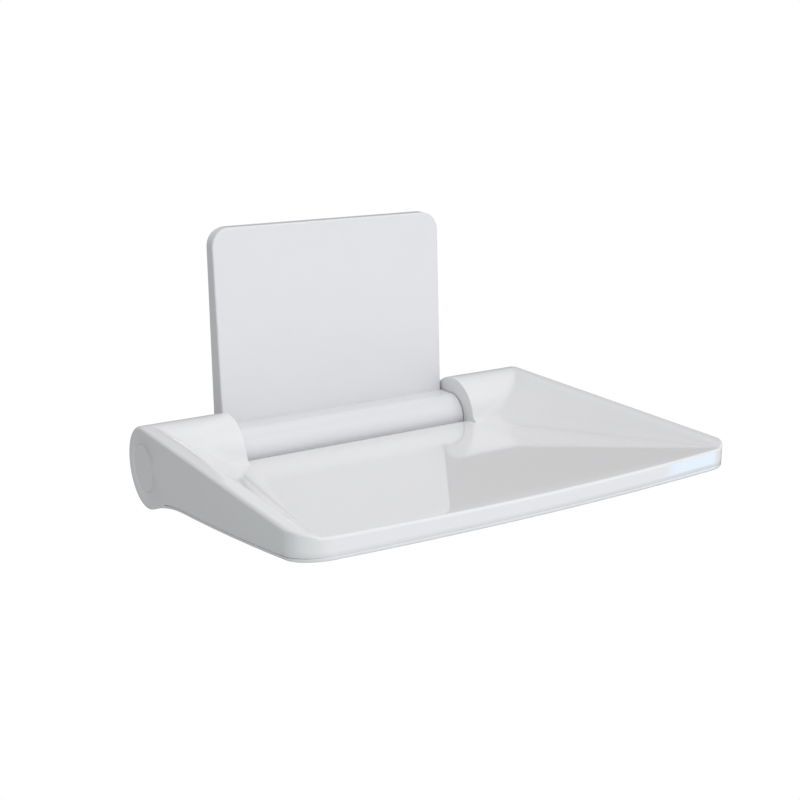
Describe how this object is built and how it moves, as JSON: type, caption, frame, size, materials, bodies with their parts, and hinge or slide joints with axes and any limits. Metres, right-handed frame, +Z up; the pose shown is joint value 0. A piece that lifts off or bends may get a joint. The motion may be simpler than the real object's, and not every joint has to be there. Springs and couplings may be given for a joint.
{
  "type": "fold down wall seat",
  "caption": "Fold-down wall seat: moulded dish seat with two round rear knuckles, hinged on a half-round barrel housing in front of a square wall cover.",
  "frame": {"origin": "middle of the four wall bolts, on the wall face", "axes": "+X to the sitter's left along the hinge, +Y into the wall, +Z up"},
  "size_m": [0.45, 0.3861, 0.2614],
  "materials": {
    "seat_plastic": "glossy moulded white",
    "cover_plastic": "glossy moulded white, slightly cooler",
    "frame_steel": "satin stainless sheet",
    "bright_steel": "turned stainless",
    "bearing_plastic": "natural nylon",
    "seal_rubber": "matt"
  },
  "bodies": {
    "wall_unit": {"wall_bracket": "frame_steel", "wall_cover": "cover_plastic", "barrel_cover": "cover_plastic", "hinge_tube": "frame_steel", "hinge_axle": "bright_steel", "axle_pins": "bright_steel", "stop_collar_left": "bright_steel", "stop_collar_right": "bright_steel", "collar_screws": "bright_steel", "friction_disc_left": "bearing_plastic", "friction_disc_right": "bearing_plastic", "disc_springs_left": "bright_steel", "disc_springs_right": "bright_steel", "axle_nut_left": "bright_steel", "axle_nut_right": "bright_steel", "cover_clips": "bearing_plastic", "wall_seal": "seal_rubber", "barrel_screws": "bright_steel"},
    "seat": {"seat_shell": "seat_plastic", "seat_underside": "seat_plastic", "end_cap_left": "seat_plastic", "end_cap_right": "seat_plastic", "hinge_arm_left": "frame_steel", "hinge_arm_right": "frame_steel", "hinge_bush_left": "bearing_plastic", "hinge_bush_right": "bearing_plastic", "stop_pins": "bright_steel", "rear_cross_bar": "frame_steel", "front_cross_bar": "frame_steel", "frame_screws": "bright_steel", "underside_screws": "bright_steel"}
  },
  "joints": [
    {"name": "seat_fold", "type": "hinge", "parent": "wall_unit", "child": "seat", "pos_m": [0, -0.0423, -0.115], "axis": [-1, 0, 0], "range_deg": [0, 90]}
  ]
}
